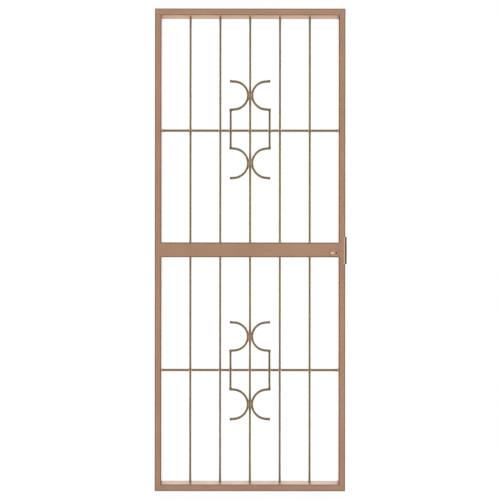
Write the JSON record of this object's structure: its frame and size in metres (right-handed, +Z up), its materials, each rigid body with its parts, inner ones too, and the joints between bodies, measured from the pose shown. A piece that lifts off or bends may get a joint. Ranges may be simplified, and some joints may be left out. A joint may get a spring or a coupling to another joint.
{
  "type": "hinged security gate",
  "caption": "Hinged steel security gate leaf: square tube frame, round bars, bent scroll ornaments, a lock rail with a keyed lock, and hinges that screw to a wall.",
  "frame": {"origin": "centre of the lower hinge plate's flat face that lies against the wall", "axes": "+X from the hinge side to the lock side, +Y away from the viewer, the way the leaf opens, +Z up"},
  "size_m": [0.7822, 0.0795, 1.95],
  "materials": {
    "frame_paint": "satin",
    "bar_paint": "satin",
    "brass": "satin",
    "dark_brass": "aged",
    "lock_steel": "brushed",
    "pin_steel": "brushed"
  },
  "bodies": {
    "wall_side": {"upper_hinge_bracket": "frame_paint", "upper_hinge_pin": "pin_steel", "lower_hinge_bracket": "frame_paint", "lower_hinge_pin": "pin_steel"},
    "leaf": {"hinge_stile": "frame_paint", "lock_stile": "frame_paint", "top_rail": "frame_paint", "bottom_rail": "frame_paint", "lock_rail": "frame_paint", "upper_bar_1": "bar_paint", "upper_bar_2": "bar_paint", "upper_bar_3": "bar_paint", "upper_bar_4": "bar_paint", "upper_bar_5": "bar_paint", "upper_cross_bar": "bar_paint", "upper_scroll_rod_left": "bar_paint", "upper_scroll_rod_right": "bar_paint", "lower_bar_1": "bar_paint", "lower_bar_2": "bar_paint", "lower_bar_3": "bar_paint", "lower_bar_4": "bar_paint", "lower_bar_5": "bar_paint", "lower_cross_bar": "bar_paint", "lower_scroll_rod_left": "bar_paint", "lower_scroll_rod_right": "bar_paint", "upper_scroll_top_left": "bar_paint", "upper_scroll_top_right": "bar_paint", "upper_scroll_bottom_left": "bar_paint", "upper_scroll_bottom_right": "bar_paint", "lower_scroll_top_left": "bar_paint", "lower_scroll_top_right": "bar_paint", "lower_scroll_bottom_left": "bar_paint", "lower_scroll_bottom_right": "bar_paint", "lock_case": "lock_steel", "lock_bolt": "lock_steel", "lock_forend": "brass", "lock_cylinder": "brass", "lock_plug": "dark_brass", "front_escutcheon": "frame_paint", "rear_escutcheon": "frame_paint", "upper_hinge_barrel": "frame_paint", "lower_hinge_barrel": "frame_paint"}
  },
  "joints": [
    {"name": "leaf_swing", "type": "hinge", "parent": "wall_side", "child": "leaf", "pos_m": [0.018, -0.014, 0], "axis": [0, 0, 1], "range_deg": [0, 90]}
  ]
}
